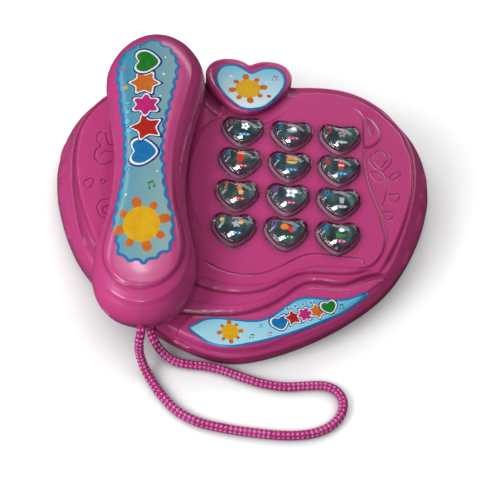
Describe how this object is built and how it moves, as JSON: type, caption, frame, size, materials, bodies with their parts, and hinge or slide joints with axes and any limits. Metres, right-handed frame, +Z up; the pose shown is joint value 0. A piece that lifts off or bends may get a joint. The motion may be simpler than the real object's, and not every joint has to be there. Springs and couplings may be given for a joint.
{
  "type": "toy telephone",
  "caption": "Heart-shaped toy desk telephone with a lift-off handset on a braided cord and clear heart keys that press and play sounds.",
  "frame": {"origin": "middle of the flat underside, on the heart's axis of symmetry", "axes": "+X to the right of a user facing the keys, +Y to the back where the panel is highest, +Z up"},
  "size_m": [0.1892, 0.1932, 0.059],
  "materials": {
    "pink_shell": "glossy moulded plastic",
    "clear_key": "clear moulded plastic",
    "key_print": "printed film",
    "label_print": "printed glossy sticker",
    "board_green": "solder-masked fibreglass",
    "rubber_grey": "moulded silicone",
    "chip_black": "epoxy",
    "lamp_clear": "tinted lamp lens",
    "screw_steel": "zinc plated",
    "speaker_steel": "pressed sheet",
    "speaker_paper": "paper cone",
    "magnet_grey": "ferrite",
    "cell_wrap": "wrapped cell",
    "contact_nickel": "nickel plated spring steel",
    "switch_black": "moulded",
    "wire_red": "insulated wire",
    "cord_magenta": "braided cord"
  },
  "bodies": {
    "base": {"base_top_shell": "pink_shell", "base_bottom_shell": "pink_shell", "base_screws": "screw_steel", "board_screws": "screw_steel", "main_circuit_board": "board_green", "sound_chip": "chip_black", "key_contact_pads": "rubber_grey", "led_lamps": "lamp_clear", "speaker_frame": "speaker_steel", "speaker_cone": "speaker_paper", "speaker_magnet": "magnet_grey", "battery_cells": "cell_wrap", "battery_contacts": "contact_nickel", "battery_springs": "contact_nickel", "power_switch_body": "switch_black", "speaker_wires": "wire_red", "battery_wires": "wire_red", "badge_label": "label_print", "front_label": "label_print", "cord": "cord_magenta"},
    "handset": {"handset_upper_shell": "pink_shell", "handset_lower_shell": "pink_shell", "handset_screws": "screw_steel", "handset_label": "label_print", "cord_handset_knot": "cord_magenta"},
    "battery_door": {"battery_door": "pink_shell", "battery_door_screw": "screw_steel"},
    "power_switch": {"power_switch_knob": "switch_black"},
    "key_1": {"key_1_cap": "clear_key", "key_1_film": "key_print"},
    "key_2": {"key_2_cap": "clear_key", "key_2_film": "key_print"},
    "key_3": {"key_3_cap": "clear_key", "key_3_film": "key_print"},
    "key_4": {"key_4_cap": "clear_key", "key_4_film": "key_print"},
    "key_5": {"key_5_cap": "clear_key", "key_5_film": "key_print"},
    "key_6": {"key_6_cap": "clear_key", "key_6_film": "key_print"},
    "key_7": {"key_7_cap": "clear_key", "key_7_film": "key_print"},
    "key_8": {"key_8_cap": "clear_key", "key_8_film": "key_print"},
    "key_9": {"key_9_cap": "clear_key", "key_9_film": "key_print"},
    "key_star": {"key_star_cap": "clear_key", "key_star_film": "key_print"},
    "key_0": {"key_0_cap": "clear_key", "key_0_film": "key_print"},
    "key_hash": {"key_hash_cap": "clear_key", "key_hash_film": "key_print"}
  },
  "joints": [
    {"name": "key_1_press", "type": "slide", "parent": "base", "child": "key_1", "axis": [0, -0.1392, 0.9903], "range_m": [-0.0015, 0], "stiffness_N_per_m": 150, "deforming": ["key_contact_pads"]},
    {"name": "key_2_press", "type": "slide", "parent": "base", "child": "key_2", "axis": [0, -0.1392, 0.9903], "range_m": [-0.0015, 0], "stiffness_N_per_m": 150, "deforming": ["key_contact_pads"]},
    {"name": "key_3_press", "type": "slide", "parent": "base", "child": "key_3", "axis": [0, -0.1392, 0.9903], "range_m": [-0.0015, 0], "stiffness_N_per_m": 150, "deforming": ["key_contact_pads"]},
    {"name": "key_4_press", "type": "slide", "parent": "base", "child": "key_4", "axis": [0, -0.1392, 0.9903], "range_m": [-0.0015, 0], "stiffness_N_per_m": 150, "deforming": ["key_contact_pads"]},
    {"name": "key_5_press", "type": "slide", "parent": "base", "child": "key_5", "axis": [0, -0.1392, 0.9903], "range_m": [-0.0015, 0], "stiffness_N_per_m": 150, "deforming": ["key_contact_pads"]},
    {"name": "key_6_press", "type": "slide", "parent": "base", "child": "key_6", "axis": [0, -0.1392, 0.9903], "range_m": [-0.0015, 0], "stiffness_N_per_m": 150, "deforming": ["key_contact_pads"]},
    {"name": "key_7_press", "type": "slide", "parent": "base", "child": "key_7", "axis": [0, -0.1392, 0.9903], "range_m": [-0.0015, 0], "stiffness_N_per_m": 150, "deforming": ["key_contact_pads"]},
    {"name": "key_8_press", "type": "slide", "parent": "base", "child": "key_8", "axis": [0, -0.1392, 0.9903], "range_m": [-0.0015, 0], "stiffness_N_per_m": 150, "deforming": ["key_contact_pads"]},
    {"name": "key_9_press", "type": "slide", "parent": "base", "child": "key_9", "axis": [0, -0.1392, 0.9903], "range_m": [-0.0015, 0], "stiffness_N_per_m": 150, "deforming": ["key_contact_pads"]},
    {"name": "key_star_press", "type": "slide", "parent": "base", "child": "key_star", "axis": [0, -0.1392, 0.9903], "range_m": [-0.0015, 0], "stiffness_N_per_m": 150, "deforming": ["key_contact_pads"]},
    {"name": "key_0_press", "type": "slide", "parent": "base", "child": "key_0", "axis": [0, -0.1392, 0.9903], "range_m": [-0.0015, 0], "stiffness_N_per_m": 150, "deforming": ["key_contact_pads"]},
    {"name": "key_hash_press", "type": "slide", "parent": "base", "child": "key_hash", "axis": [0, -0.1392, 0.9903], "range_m": [-0.0015, 0], "stiffness_N_per_m": 150, "deforming": ["key_contact_pads"]},
    {"name": "handset_lift", "type": "slide", "parent": "base", "child": "handset", "axis": [0, -0.1392, 0.9903], "range_m": [0, 0.08]},
    {"name": "battery_door_removal", "type": "slide", "parent": "base", "child": "battery_door", "axis": [0, 0, -1], "range_m": [0, 0.03]},
    {"name": "power_switch_slide", "type": "slide", "parent": "base", "child": "power_switch", "axis": [1, 0, 0], "range_m": [0, 0.004]}
  ]
}
